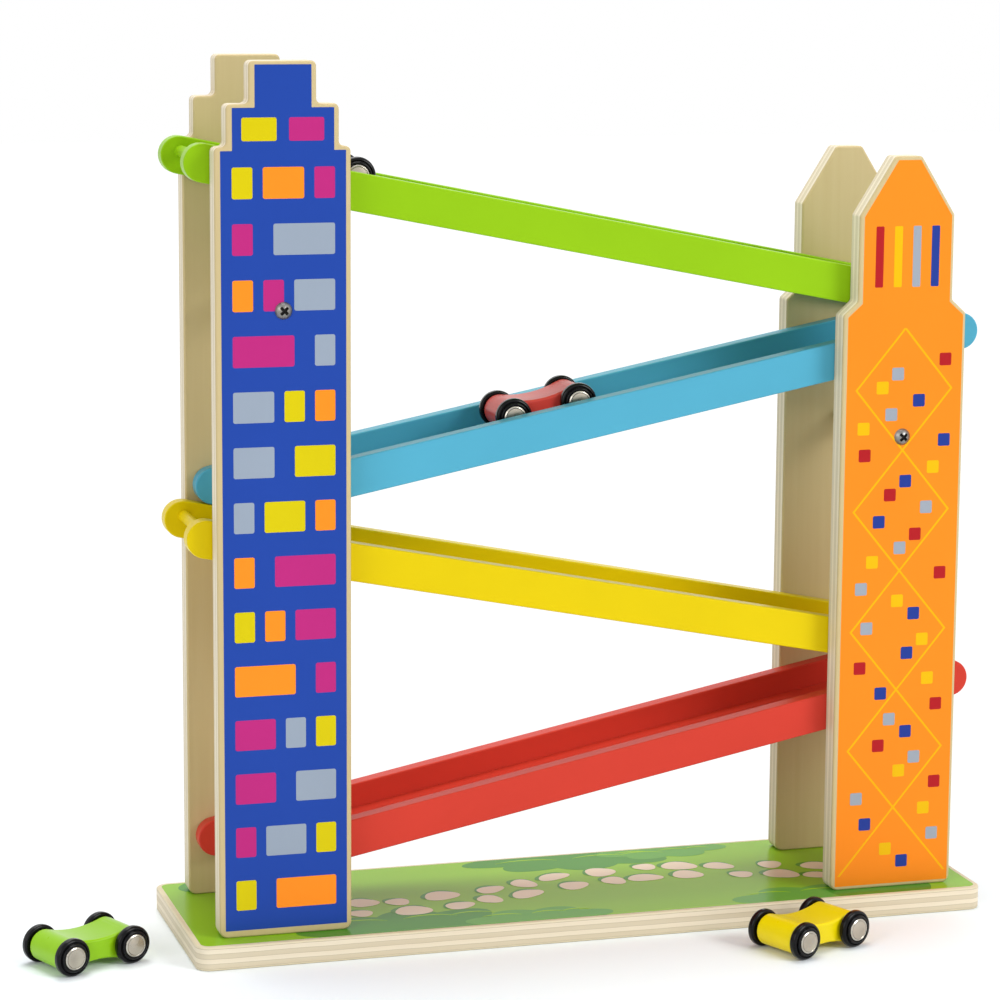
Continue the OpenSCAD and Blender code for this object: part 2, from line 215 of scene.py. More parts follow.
def with_caps(points, wall, count):
    """A plain prism's rings, doubled so that its flat faces keep their own normals."""
    up = np.array([0.0, 0.0, 1.0])
    low, high = points[:count], points[count:]
    every = np.concatenate([low, high, low, high])
    normals = np.concatenate([wall, np.tile(-up, (count, 1)), np.tile(up, (count, 1))])
    faces = ring_quads(2, count)
    faces.append(list(range(2 * count, 3 * count))[::-1])
    faces.append(list(range(3 * count, 4 * count)))
    return every, normals, faces


def with_cups(points, wall, faces, count, low, cups):
    """Closes the low face with round cups: a circle's rim, its wall and its flat bottom, for each cup."""
    n = 24
    turn = np.linspace(0, math.tau, n + 1)[:-1]
    ray = np.column_stack([np.cos(turn), np.sin(turn), np.zeros(n)])
    down = np.tile([0.0, 0.0, -1.0], (n, 1))
    loops = [points[:count]]
    first = [0]
    for x, y, radius, depth in cups:
        rim = np.array([x, y, low]) + radius * ray
        bottom = rim + np.array([0, 0, depth])
        start = len(points)
        points = np.concatenate([points, rim, rim, bottom, bottom])
        wall = np.concatenate([wall, down, -ray, -ray, down])
        loops.append(rim)
        first.append(start)
        faces += [[start + n + b for b in quad[::-1]] for quad in ring_quads(2, n)]
        faces.append([start + 3 * n + k for k in range(n)][::-1])
    index = np.concatenate([np.arange(len(loop)) + start for loop, start in zip(loops, first)])
    flat = np.concatenate(loops)
    for triangle in tessellate_polygon([[tuple(p) for p in loop] for loop in loops]):
        a, b, c = flat[list(triangle)]
        clockwise = np.cross(b - a, c - a)[2] < 0
        faces.append([int(index[k]) for k in (triangle if clockwise else triangle[::-1])])
    return points, wall, faces


def lathe(outline, place, turns):
    """A turned piece: point = (r cos t, r sin t, z) for the outline's (r, z) and an angle t.

    The outline runs anticlockwise: a ring's is closed, and a solid piece's starts and ends on the axis.
    The wood's grain runs along the axis."""
    profile, out = outline
    angle = np.linspace(0, math.tau, turns + 1)[:-1]
    solid = abs(profile[0, 0]) < 1e-9
    if solid:
        poles = np.column_stack([np.zeros(2), np.zeros(2), profile[[0, -1], 1]])
        profile, out = profile[1:-1], out[1:-1]

    def spun(pairs):
        r, z = pairs[:, :1], pairs[:, 1:]
        return np.stack([r * np.cos(angle), r * np.sin(angle), z + 0 * angle], -1).reshape(-1, 3)

    points, normals = spun(profile), spun(out)
    faces = ring_quads(len(profile), turns, closed=not solid)
    if solid:
        last = len(points)
        around = [(k, (k + 1) % turns) for k in range(turns)]
        faces += [[last, b, a] for a, b in around]
        top = last - turns
        faces += [[last + 1, top + a, top + b] for a, b in around]
        points = np.concatenate([points, poles])
        normals = np.concatenate([normals, [[0, 0, -1], [0, 0, 1]]])
    return moved(place, points, normals, faces, points[:, [2, 0, 1]])


def section(rows, steps):
    """A closed section, anticlockwise, from rows of (x, y, corner radius)."""
    return corners([row[:2] for row in rows], [row[2] for row in rows], steps)


def rod_profile(radius, half):
    """Outline of a round rod about its middle, from the axis out and back, with both its edges rounded."""
    edge = 0.3 * MM
    across = [(-radius, -half), (radius, -half), (radius, half), (-radius, half)]
    rim, out = corners(across, [0, edge, edge, 0], 6)
    outer = rim[:, 0] > 0
    rim = np.concatenate([[[0, -half]], rim[outer], [[0, half]]])
    out = np.concatenate([[[0, -1]], out[outer], [[0, 1]]])
    return rim, out


def piece(name, parts, body="toy", replaces=()):
    """Joins parts, each a surface and its material, into one mesh object that rides on a body."""
    materials = list(dict.fromkeys(material for _, material in parts))
    points, normals, grain, faces, finish = [], [], [], [], []
    for surface, material in parts:
        start = len(points)
        points += surface.points.tolist()
        normals += surface.normals.tolist()
        grain += surface.grain.ravel().tolist()
        faces += [[start + v for v in face] for face in surface.faces]
        finish += [materials.index(material)] * len(surface.faces)
    mesh = bpy.data.meshes.new(name)
    mesh.from_pydata(points, [], faces)
    mesh.attributes.new("grain", "FLOAT_VECTOR", "POINT").data.foreach_set("vector", grain)
    for material in materials:
        mesh.materials.append(material)
    mesh.polygons.foreach_set("material_index", finish)
    mesh.polygons.foreach_set("use_smooth", [True] * len(faces))
    mesh.update()
    mesh.normals_split_custom_set_from_vertices(normals)
    made = bpy.data.objects.new(name, mesh)
    bpy.context.scene.collection.objects.link(made)
    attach(made, body)
    if replaces:
        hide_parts(*replaces)


def axes(origin, u, v):
    """The 4 by 4 matrix of a place with its first two axes; the third is square to both."""
    u = np.array(u, float) / np.linalg.norm(u)
    w = np.cross(u, v)
    w /= np.linalg.norm(w)
    place = np.eye(4)
    place[:3] = np.column_stack([u, np.cross(w, u), w, origin])
    return place


def upright(y):
    """A drawing in X and Z, seen from the front, with its thickness counted towards the front from y."""
    return axes((0, y, 0), (1, 0, 0), (0, 0, 1))


class Value:
    """A number that varies over a surface: sums and products on it add Math nodes."""

    def __init__(self, finish, socket):
        self.finish = finish
        self.socket = socket

    def math(self, operation, *others):
        inputs = dict(enumerate((self, *others)))
        return self.finish.node("ShaderNodeMath", {"operation": operation}, inputs)

    def __add__(self, other):
        return self.math("ADD", other)

    def __sub__(self, other):
        return self.math("SUBTRACT", other)

    def __rsub__(self, other):
        return self * -1 + other

    def __mul__(self, other):
        return self.math("MULTIPLY", other)

    def __truediv__(self, other):
        return self.math("DIVIDE", other)

    __radd__ = __add__
    __rmul__ = __mul__


class Nodes:
    """Shader nodes under construction in one node tree."""

    def __init__(self, tree):
        self.tree = tree

    def node(self, kind, settings=None, inputs=None, output=0):
        """Adds a node: its settings come first, then the values or links of its sockets."""
        made = self.tree.nodes.new(kind)
        for key, value in (settings or {}).items():
            setattr(made, key, value)
        for key, value in (inputs or {}).items():
            self.feed(made.inputs[key], value)
        return Value(self, made.outputs[output])

    def feed(self, socket, value):
        if isinstance(value, Value):
            self.tree.links.new(value.socket, socket)
        else:
            socket.default_value = value

    def mix(self, share, a, b, blend="MIX"):
        """Colour a turning to colour b, or to a blend of both, as share goes from 0 to 1."""
        settings = {"data_type": "RGBA", "blend_type": blend}
        return self.node("ShaderNodeMix", settings, {0: share, 6: a, 7: b}, output=2)

    def ramp(self, value, stops, blend="LINEAR"):
        """The colour at a value, from stops that are each a place and a colour."""
        colour_at = self.node("ShaderNodeValToRGB", {}, {0: value})
        ramp = colour_at.socket.node.color_ramp
        ramp.interpolation = blend
        while len(ramp.elements) < len(stops):
            ramp.elements.new(1.0)
        for element, (place, colour) in zip(ramp.elements, stops):
            element.position = place
            element.color = colour
        return colour_at

    def noise(self, where, scale, detail, rough=0.55):
        return self.node("ShaderNodeTexNoise", {}, {"Vector": where, "Scale": scale, "Detail": detail,
                                                    "Roughness": rough})

    def drawn_noise(self, where, scales, detail, rough=0.55):
        """Noise with its own scale along each axis, which draws it out into streaks."""
        drawn = self.node("ShaderNodeVectorMath", {"operation": "MULTIPLY"}, {0: where, 1: scales})
        return self.noise(drawn, 1.0, detail, rough)

    def parts(self, where):
        """The three numbers of a vector."""
        split = self.node("ShaderNodeSeparateXYZ", {}, {0: where}).socket.node
        return [Value(self, out) for out in split.outputs]

    def shown(self):
        """1 for what the camera, a mirror or clear glass shows, and 0 for the light that falls on things."""
        kinds = ("Camera", "Glossy", "Transmission")
        camera, glossy, clear = (self.node("ShaderNodeLightPath", output=f"Is {kind} Ray") for kind in kinds)
        return camera.math("MAXIMUM", glossy.math("MAXIMUM", clear))

    def grain(self):
        """The piece's own coordinates: along the grain, across it and through the thickness."""
        return self.node("ShaderNodeAttribute", {"attribute_name": "grain"}, output="Vector")

    def object(self):
        return self.node("ShaderNodeTexCoord", output="Object")


class Finish(Nodes):
    """A material under construction, round one Principled shader."""

    def __init__(self, name, **plain):
        self.material = bpy.data.materials.new(name)
        self.material.use_nodes = True
        super().__init__(self.material.node_tree)
        self.shader = self.tree.nodes["Principled BSDF"]
        for socket, value in plain.items():
            spoken = socket.replace("_", " ").title().replace("Ior", "IOR")
            self.shader.inputs[spoken].default_value = value

    def set(self, socket, value):
        self.feed(self.shader.inputs[socket], value)

    def lacquer(self, most):
        """A clear coat for a glancing view: its weight is most times the square of the turn away."""
        turned = self.node("ShaderNodeLayerWeight", {}, {"Blend": 0.5}, output="Facing")
        self.set("Coat Weight", turned * turned * most)

    def done(self, colour, roughness, height, distance, strength):
        """Sets the colour, the roughness and a bump that is distance high at most. Gives the material."""
        sizes = {"Height": height, "Distance": distance, "Strength": strength}
        self.set("Base Color", colour)
        self.set("Roughness", roughness)
        self.set("Normal", self.node("ShaderNodeBump", {}, sizes))
        return self.material


def rgb(red, green, blue):
    """A colour written as on a screen, 0 to 255, as the shader's linear numbers."""
    levels = np.array([red, green, blue]) / 255
    linear = np.where(levels <= 0.04045, levels / 12.92, ((levels + 0.055) / 1.055) ** 2.4)
    return (*(float(level) for level in linear), 1.0)


def shade(colour, factor):
    return (*(min(1.0, channel * factor) for channel in colour[:3]), 1.0)


def plywood(name, thickness, face):
    """Plywood: a pale face veneer with fine grain, and on the edges its plies, light and dark in turn,
    with thin glue lines that waver a little."""
    finish = Finish(name)
    where = finish.grain()
    depth = finish.parts(where)[2]
    wander = finish.drawn_noise(where, (45, 45, 60), 2.0)
    most_wander = 0.5 * MM
    share = (depth + (wander - 0.5) * most_wander) / thickness
    cream = rgb(230, 218, 194)
    tan = rgb(212, 199, 172)
    glue = rgb(186, 171, 143)
    # Each ply starts with a glue line. Both starts are shares of the thickness
    stops = [(0.0, face)]
    for glue_start, ply_start, wood in (
        (0.085, 0.105, tan),
        (0.285, 0.3, cream),
        (0.49, 0.505, tan),
        (0.695, 0.71, cream),
        (0.895, 0.915, face),
    ):
        stops += [(glue_start, glue), (ply_start, wood)]
    plies = finish.ramp(share, stops, "CONSTANT")
    streaks = finish.drawn_noise(where, (9, 260, 500), 4.0, 0.6)
    flecks = finish.drawn_noise(where, (420, 900, 2600), 2.0)
    brown = (0.86, 0.80, 0.70, 1)
    strongest_streak = 0.32
    streaked = finish.ramp(streaks, [(0.3, BLACK), (0.75, WHITE)]) * strongest_streak
    wood = finish.mix(streaked, plies, brown, "MULTIPLY")
    return finish.done(wood, 0.52 + streaks * 0.16, streaks * 0.6 + flecks * 0.4, 0.05 * MM, 0.35)


def paint(name, colour, roughness=0.36, shine=0.1, glance=0.42):
    """Satin paint on wood: the grain shows faintly through, and the colour drifts a little.

    Shine is how strongly it mirrors, and glance is the most that its clear coat adds in a glancing view."""
    finish = Finish(name, specular_ior_level=shine, coat_roughness=0.2)
    where = finish.grain()
    drift = finish.drawn_noise(where, (18, 30, 30), 2.0)
    fibres = finish.drawn_noise(where, (22, 420, 420), 4.0, 0.6)
    tone = finish.mix(drift, shade(colour, 0.93), shade(colour, 1.05))
    finish.lacquer(glance)
    return finish.done(tone, roughness + fibres * 0.12, fibres, 0.03 * MM, 0.3)


def printed(name, colour, light=None, roughness=0.33, shine=0.12):
    """Ink on sanded plywood: nearly even, with the wood's grain as fine streaks in the gloss.

    The ink drifts from its colour to a light one, which is a lighter tint of it where none is given."""
    finish = Finish(name, specular_ior_level=shine)
    where = finish.grain()
    fibres = finish.drawn_noise(where, (14, 300, 300), 4.0, 0.6)
    cloud = finish.drawn_noise(where, (9, 16, 16), 1.0)
    tone = finish.mix(cloud, shade(colour, 0.95), light or shade(colour, 1.06))
    streaked = finish.mix(fibres * 0.12, tone, shade(colour, 0.8))
    return finish.done(streaked, roughness + fibres * 0.1, fibres, 0.02 * MM, 0.25)


def dowel_wood(name):
    """Bare turned hardwood, warm, with straight fine grain."""
    finish = Finish(name)
    where = finish.grain()
    streaks = finish.drawn_noise(where, (12, 500, 500), 4.0, 0.6)
    wood = finish.ramp(streaks, [(0.3, rgb(201, 170, 122)), (0.7, rgb(224, 198, 152))])
    return finish.done(wood, 0.5 + streaks * 0.15, streaks, 0.05 * MM, 0.4)


def wheel_black(name):
    """Satin moulded black, slightly dulled where it has been handled."""
    finish = Finish(name, specular_ior_level=0.16, coat_roughness=0.08)
    where = finish.object()
    dull = finish.noise(where, 260.0, 3.0)
    pimples = finish.noise(where, 1500.0, 2.0)
    tone = finish.ramp(dull, [(0.35, rgb(8, 8, 10)), (0.75, rgb(17, 16, 18))])
    finish.lacquer(0.9)
    return finish.done(tone, 0.12 + dull * 0.16, pimples, 0.02 * MM, 0.15)


def metal(name, colour, smoothest, roughest):
    """Plated steel: bright, with hairline marks, a cloudy roughness, and light and dark patches in its
    colour that are painted reflections.
    """
    finish = Finish(name, metallic=1.0)
    where = finish.object()
    painted_reflection_and_haze = finish.noise(where, 130.0, 1.0)
    marks = finish.drawn_noise(where, (300, 300, 2200), 1.0)
    # Painted reflection: the colour goes lighter and darker over large patches, standing in for surroundings
    # mirrored in the metal
    tone = finish.mix(painted_reflection_and_haze, shade(colour, 0.62), shade(colour, 1.12))
    return finish.done(tone, smoothest + painted_reflection_and_haze * (roughest - smoothest), marks, 0.006 * MM, 0.08)


TRACK_PAINTS = {
    "red": rgb(206, 62, 48),
    "yellow": rgb(220, 193, 0),
    "blue": rgb(80, 163, 190),
    "green": rgb(140, 188, 14),
}
CAR_PAINTS = {
    "red": rgb(211, 68, 58),
    "green": rgb(142, 194, 12),
    "yellow": rgb(237, 214, 0),
    "blue": rgb(44, 104, 186),
}
WINDOW_INKS = {
    "yellow": rgb(208, 190, 0),
    "orange": rgb(246, 138, 30),
    "pink": rgb(182, 38, 118),
    "grey": rgb(146, 157, 172),
}
SQUARE_INKS = {
    "red": rgb(170, 24, 30),
    "blue": rgb(34, 56, 140),
    "yellow": rgb(228, 178, 0),
    "grey": rgb(152, 158, 168),
}

panel_ply = plywood("panel plywood", panel_t, rgb(197, 177, 129))
board_ply = plywood("board plywood", board_high[2] - board_low[2], rgb(220, 208, 178))
track_paint = {name: paint(f"{name} track paint", colour) for name, colour in TRACK_PAINTS.items()}
car_gloss = {"roughness": 0.24, "shine": 0.24, "glance": 0.2}
car_paint = {name: paint(f"{name} car paint", colour, **car_gloss) for name, colour in CAR_PAINTS.items()}
window_ink = {name: printed(f"{name} window ink", colour) for name, colour in WINDOW_INKS.items()}
square_ink = {name: printed(f"{name} square ink", colour) for name, colour in SQUARE_INKS.items()}
blue_ink = printed("tower blue ink", rgb(30, 66, 156))
orange_ink = printed("tower orange ink", rgb(240, 134, 26))
line_ink = printed("thin yellow line ink", rgb(240, 174, 0))
board_gloss = {"roughness": 0.16, "shine": 0.1}
meadow_ink = printed("meadow green ink", rgb(144, 198, 2), rgb(138, 184, 58), **board_gloss)
bush_ink = printed("bush green ink", rgb(72, 140, 22), rgb(84, 150, 54), **board_gloss)
pale_bush_ink = printed("pale bush green ink", rgb(98, 166, 36), rgb(104, 168, 74), **board_gloss)
leaf_ink = printed("leaf line ink", rgb(156, 204, 20), **board_gloss)
stone_ink = printed("stone ink", rgb(232, 216, 188), **board_gloss)
stone_shade_ink = printed("stone shade ink", rgb(80, 146, 40), **board_gloss)
bare_dowel = dowel_wood("bare dowel")
black = wheel_black("black wheel")
nickel = metal("nickel cap face", rgb(190, 181, 166), 0.2, 0.34)
bright_nickel = metal("nickel cap rim", rgb(196, 190, 178), 0.16, 0.28)
# Painted shade: the groove's bottom takes a much darker nickel than the cap's face and rim
groove_shade_nickel = metal("nickel cap groove, painted shade", rgb(112, 104, 92), 0.3, 0.46)
zinc = metal("zinc pin", rgb(150, 149, 146), 0.3, 0.46)


def pan_head_zinc(name):
    """Zinc on the pan heads, with painted shade darkening the cross recess and light and dark patches of
    painted reflection.

    About each head's middle, u and v run along the recess's two arms. A spot is in an arm where one of
    them is under half the arm's width and the other under half its length."""
    finish = Finish(name, metallic=1.0)
    where = finish.object()
    x, _, z = finish.parts(where)
    on_right = x.math("GREATER_THAN", 0.0)
    middle_z = screw_z["left"] + on_right * (screw_z["right"] - screw_z["left"])
    across = x.math("ABSOLUTE") - right_middle
    up = z - middle_z
    half_width = 0.75 * MM
    half_length = 2.3 * MM

    u = ((across + up) * math.sqrt(0.5)).math("ABSOLUTE")
    v = ((across - up) * math.sqrt(0.5)).math("ABSOLUTE")
    one_arm = u.math("LESS_THAN", half_width) * v.math("LESS_THAN", half_length)
    other_arm = v.math("LESS_THAN", half_width) * u.math("LESS_THAN", half_length)
    recess = one_arm.math("MAXIMUM", other_arm)
    painted_reflection_and_haze = finish.noise(where, 500.0, 3.0)
    # Painted reflection: the zinc goes lighter and darker in patches
    bright = finish.mix(painted_reflection_and_haze, rgb(112, 110, 106), rgb(158, 156, 152))
    # Painted shade: the cross recess, already cut in the solid, is also coloured near black
    tone = finish.mix(recess, bright, rgb(52, 50, 48))
    return finish.done(tone, 0.26 + painted_reflection_and_haze * 0.2 + recess * 0.3, painted_reflection_and_haze, 0.03 * MM, 0.2)


def stepped_outline(inset, radii):
    """The left tower's outline in X and Z, drawn in by an inset all round."""
    foot = tower_w / 2 - inset
    second = foot - left_step_in
    top = front_high[2] - inset
    widths = foot, second, second - left_top_in
    levels = front_low[2] + inset, top - 2 * left_step_h, top - left_step_h, top
    half = [(width, z) for step, width in enumerate(widths) for z in levels[step:step + 2]]
    return mirrored(half, left_middle, radii)


def pointed_outline(inset, radii):
    """The right tower's outline in X and Z, drawn in by an inset all round.

    A corner between an upright and a sloping edge moves along the upright by the inset times the tangent
    of half the slope's turn from the upright."""
    foot = tower_w / 2 - inset
    neck = foot - neck_in
    bottom, top = pointed_low[2] + inset, pointed_high[2] - inset
    eaves = pointed_high[2] - roof_h
    collar = eaves - neck_h
    collar_drop = inset * math.tan(math.atan2(neck_in, neck_slope_h) / 2)
    roof_turn = math.atan2(tower_w / 2 - neck_in - roof_tip_w / 2, roof_h)
    roof_drop = inset * math.tan(roof_turn / 2)
    tip = roof_tip_w / 2 - inset * math.tan((math.pi / 2 - roof_turn) / 2)
    half = [
        (foot, bottom),
        (foot, collar - neck_slope_h - collar_drop),
        (neck, collar - collar_drop),
        (neck, eaves - roof_drop),
        (tip, top),
    ]
    return mirrored(half, right_middle, radii)


def mirrored(half, middle, radii):
    """A closed outline from its right half, given from the foot up; the first radius is the feet's."""
    right = np.array(half)
    left = right[::-1] * np.array([-1, 1])
    one_side = [radii[0]] + [radii[1]] * (len(half) - 1)
    return corners(np.concatenate([right, left]) + np.array([middle, 0]), one_side + one_side[::-1])


def tower_panels():
    """The four plywood panels, their grain upright."""
    for tower, outline in (("left", stepped_outline), ("right", pointed_outline)):
        for face in ("front", "back"):
            node = f"{tower}_{face}_panel"
            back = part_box(node)[1][1]
            rim = outline(0, (foot_corner, panel_corner))
            surface = slab(rim, 0, panel_t, panel_ease, upright(back), along=1)
            piece(f"{node}_wood", [(surface, panel_ply)], replaces=[node])


def rounded_rectangle(x0, x1, y0, y1, radius):
    """A rectangle's outline with round corners."""
    return corners([(x0, y0), (x1, y0), (x1, y1), (x0, y1)], radius)


def centred_rectangle(x, y, width, height, radius):
    """A rectangle's outline about its middle, with round corners."""
    return rounded_rectangle(x - width / 2, x + width / 2, y - height / 2, y + height / 2, radius)


def shifted(outline, x, y):
    """An outline moved by x and y."""
    return outline[0] + np.array([x, y]), outline[1]


def on_front(outline, layer):
    """A printed shape on the towers' front faces; layer 0 lies on the wood, and a higher one above it."""
    return slab(outline, layer * ink, (layer + 1) * ink, 0, upright(front_low[1]), along=1)


def windowed_print():
    """The left tower's print: a blue field with rows of lit windows.

    A row's windows take one of the splits in turn, their widths in units, and the rest of the row is
    gaps. The colours go on from window to window with a step that changes from row to row."""
    side_margin = 2.6 * MM
    field_up = 0.9 * MM
    field_right = 0.2 * MM
    unit = 9.76 * MM
    units = 5
    low_row = 32.35 * MM
    row_pitch = 26.08 * MM
    rows = 14
    window_h = 14.6 * MM
    window_corner = 1.0 * MM
    top_row = 396.05 * MM
    top_w = 1.7 * unit
    top_h = 10.8 * MM
    top_from_middle = 1.15 * unit
    splits = [(1, 3), (1, 2, 1), (2, 2), (2, 1, 1), (3, 1), (1, 1, 2)]
    shades = list(window_ink.values())
    field = shifted(stepped_outline(side_margin, field_corners), field_right, field_up)
    parts = [(on_front(field, 0), blue_ink)]

    def window(x, width, z, height, shade_number):
        rim = centred_rectangle(x, z, width, height, window_corner)
        parts.append((on_front(rim, 1), shades[shade_number % len(shades)]))

    number = 0
    for row in range(rows):
        split = splits[row % len(splits)]
        gap = (units - sum(split)) / (len(split) - 1) * unit
        left = left_middle + field_right - units / 2 * unit
        for width in split:
            window(left + width * unit / 2, width * unit, low_row + row * row_pitch, window_h, number)
            left += width * unit + gap
            number += 1
        number += row % 3
    for side in (-1, 1):
        window(left_middle + side * top_from_middle, top_w, top_row, top_h, side + 1)
    piece("left_tower_print", parts)


def zigzag(x, z, half_w, step, count, width):
    """A thin printed line that runs up in slanting steps, left and right of x in turn, and ends at x.

    Its first step starts a small share of a step too soon. Both its edges follow the same corners, set
    apart sideways."""
    early_share = 0.067
    sharp = 0.05 * MM
    number = np.arange(count + 1)
    line = np.column_stack([x + half_w * (-1.0) ** number, z + step * number])
    line[0] += early_share * (line[0] - line[1])
    line = np.concatenate([line, [[x, z + step * (count + 0.5)]]])
    run = math.hypot(2 * half_w, step)
    apart = np.array([width * run / step / 2, 0])
    return corners(np.concatenate([line + apart, (line - apart)[::-1]]), sharp, 2)


# The chain of diamonds: the height and half width of each, and the height of the lowest side corners
diamond_h = 60.6 * MM
diamond_half_w = 25.2 * MM
diamond_side = 22.8 * MM


def diamonds(middle):
    """A chain of diamonds: two thin zigzag lines that cross, one a little above the other."""
    steps = 4
    width = 0.95 * MM
    for side, layer in ((1, 1), (-1, 1.2)):
        rim = zigzag(middle, diamond_side, side * diamond_half_w, diamond_h, steps, width)
        yield on_front(rim, layer), line_ink


def bars(middle):
    """Four upright bars side by side, in the tower's neck."""
    width = 4.2 * MM
    low, high = 315.8 * MM, 345.7 * MM
    pitch = 9.8 * MM
    corner = 0.6 * MM
    for place, shade_name in zip((-1.5, -0.5, 0.5, 1.5), ("red", "yellow", "grey", "blue")):
        x = middle + place * pitch
        rim = rounded_rectangle(x - width / 2, x + width / 2, low, high, corner)
        yield on_front(rim, 1), square_ink[shade_name]


def squares(middle):
    """Small squares up the tower. Each takes the first clear place of a few that step along the width by
    the golden share, so that they never line up."""
    width = 6.3 * MM
    corner = 0.8 * MM
    layer = 1.4
    golden_share = 0.618034
    spread = 44.5 * MM
    first, last, pitch = 25 * MM, 292 * MM, 6.7 * MM
    from_line, apart = 5.4 * MM, 9.6 * MM
    tries = 9
    line_lean = diamond_h / math.hypot(2 * diamond_half_w, diamond_h)
    taken = [(right_middle, screw_z["right"])]

    def clear(x, z):
        """Whether a square at x and z keeps off the diamonds' lines, the screw and the squares below it."""
        line_x = diamond_half_w * abs(1 - 2 * ((z - diamond_side) / diamond_h % 1))
        off_line = abs(abs(x - middle) - line_x) * line_lean
        return off_line > from_line and all(math.hypot(x - a, z - b) > apart for a, b in taken)

    shades = list(square_ink.values())
    for number in range(int((last - first) / pitch)):
        z = first + number * pitch
        shares = [(number * tries + k) * golden_share % 1.0 for k in range(tries)]
        free = [x for x in (middle + (share - 0.5) * spread for share in shares) if clear(x, z)]
        if free:
            rim = centred_rectangle(free[0], z, width, width, corner)
            shade_number = (len(taken) + len(taken) // 4) % len(shades)
            yield on_front(rim, layer), shades[shade_number]
            taken.append((free[0], z))


def ornamented_print():
    """The right tower's print: an orange field, a chain of diamonds, four bars and small squares."""
    side_margin = 1.9 * MM
    field_right = 0.4 * MM
    middle = right_middle + field_right
    field = shifted(pointed_outline(side_margin, field_corners), field_right, 0)
    parts = [(on_front(field, 0), orange_ink), *diamonds(middle), *bars(middle), *squares(middle)]
    piece("right_tower_print", parts)


def closed_curve(points):
    """A closed curve's points, anticlockwise, with its outward normals from its neighbours' directions."""
    along = np.roll(points, -1, 0) - np.roll(points, 1, 0)
    out = np.column_stack([along[:, 1], -along[:, 0]])
    return points, out / np.linalg.norm(out, axis=1)[:, None]


def pebble(x, y, a, b, turn):
    """An oval with half axes a and b, turned. A wave pushes its rim in and out three times round."""
    wave = 0.07
    t = np.linspace(0, math.tau, 27)[:-1]
    far = 1 + wave * np.sin(3 * t + 5 * a / MM)
    u = a * far * np.cos(t)
    v = b * far * np.sin(t)
    c, s = math.cos(turn), math.sin(turn)
    return closed_curve(np.column_stack([x + c * u - s * v, y + s * u + c * v]))


def hedge(x, edge, a, b, lobes):
    """A row of bushes that grows from an edge line: it is half an oval whose rim swells in round lobes.

    Over an angle t from 0 to 180 degrees, a point lies a cos t along the edge and b sin t away from it,
    times 0.8 and a fifth of a sine's half waves."""
    t = np.linspace(0, math.pi, 12 * lobes + 1)
    far = 0.8 + 0.2 * np.abs(np.sin(lobes * t))
    rim = np.column_stack([x + a * far * np.cos(t), edge + b * far * np.sin(t)])
    return closed_curve(rim if b > 0 else rim[::-1])


def leaf_line(x, y, a, b):
    """A thin curved line: the upper part of an oval, thickest in its middle and pointed at its ends."""
    width = 1.1 * MM
    thinnest = 0.05 * MM
    t = np.linspace(0.5, 2.5, 14)
    half = width / 2 * np.sin(np.linspace(0, math.pi, len(t))) + thinnest
    ray = np.column_stack([np.cos(t), np.sin(t)])
    line = np.array([x, y]) + ray * np.array([a, b])
    edge = ray * half[:, None]
    return closed_curve(np.concatenate([line + edge, (line - edge)[::-1]]))


def on_board(outline, layer):
    """A printed shape on the board's top; layer 0 lies on the wood, and a higher one above it."""
    low = board_high[2] + layer * ink
    return slab(outline, low, low + ink, 0, FLAT)


def bushes(front, back):
    """Bushes along the meadow's front and back edges, each with three leaf lines.

    A leaf line's half length and place are shares of its bush's half length, and its height and bow are
    shares of the bush's depth."""
    up, bow = 0.42, 0.26
    leaves = (0.3, -0.45), (0.26, 0.15), (0.22, 0.5)
    # Middle in mm, the meadow's edge, half length and depth in mm, round lobes, layer and ink
    rows = [
        (-92, front, 62, 33, 5, 1, bush_ink),
        (-30, front, 40, 21, 4, 1.5, pale_bush_ink),
        (112, front, 44, 24, 4, 1, pale_bush_ink),
        (150, front, 30, 34, 3, 1.5, bush_ink),
        (20, back, 66, -30, 5, 1, bush_ink),
        (66, back, 38, -20, 4, 1.5, pale_bush_ink),
        (-150, back, 44, -34, 4, 1, bush_ink),
    ]
    for x, edge, a, b, lobes, layer, shade_ink in rows:
        yield on_board(hedge(x * MM, edge, a * MM, b * MM, lobes), layer), shade_ink
        for share, place in leaves:
            leaf = leaf_line((x + place * a) * MM, edge + up * b * MM, share * a * MM, bow * abs(b) * MM)
            yield on_board(leaf, layer + 1), leaf_ink


def stone_path():
    """Flat stones in pairs along a sine curve. The edge of a larger stone under each is its shadow."""
    pairs = 13
    half_length = 132 * MM
    bend, bend_w, bend_start = 44 * MM, 13 * MM, 0.6
    path_y = -1 * MM
    most_turn = 0.5
    shadow_layer, stone_layer = 2.6, 3
    shadow_left, shadow_back = 0.9 * MM, 1.3 * MM
    longer, wider = 0.3 * MM, 0.4 * MM
    # A stone's shift along the path, distance from its middle, half length and half width. Each is a
    # middle value and a swing in mm, then the swing's wave and its turn from stone to stone
    varied = [
        (0, 3.4, math.sin, 2.3),
        (8.6, 1.2, math.cos, 1.9),
        (7.8, 1.9, math.sin, 2.1),
        (6.4, 1.1, math.cos, 1.7),
    ]
    for pair in range(pairs):
        along = -half_length + 2 * half_length * pair / (pairs - 1)
        middle_y = bend_w * math.sin(along / bend + bend_start) + path_y
        turn = most_turn * math.cos(along / bend + bend_start)
        for side in (-1, 1):
            number = 2 * pair + (side > 0)
            sizes = [(middle + swing * wave(rate * number)) * MM for middle, swing, wave, rate in varied]
            shift, off, a, b = sizes
            x, y = along + shift, middle_y + side * off
            shadow = pebble(x - shadow_left, y + shadow_back, a + longer, b + wider, turn)
            yield on_board(shadow, shadow_layer), stone_shade_ink
            yield on_board(pebble(x, y, a, b, turn), stone_layer), stone_ink


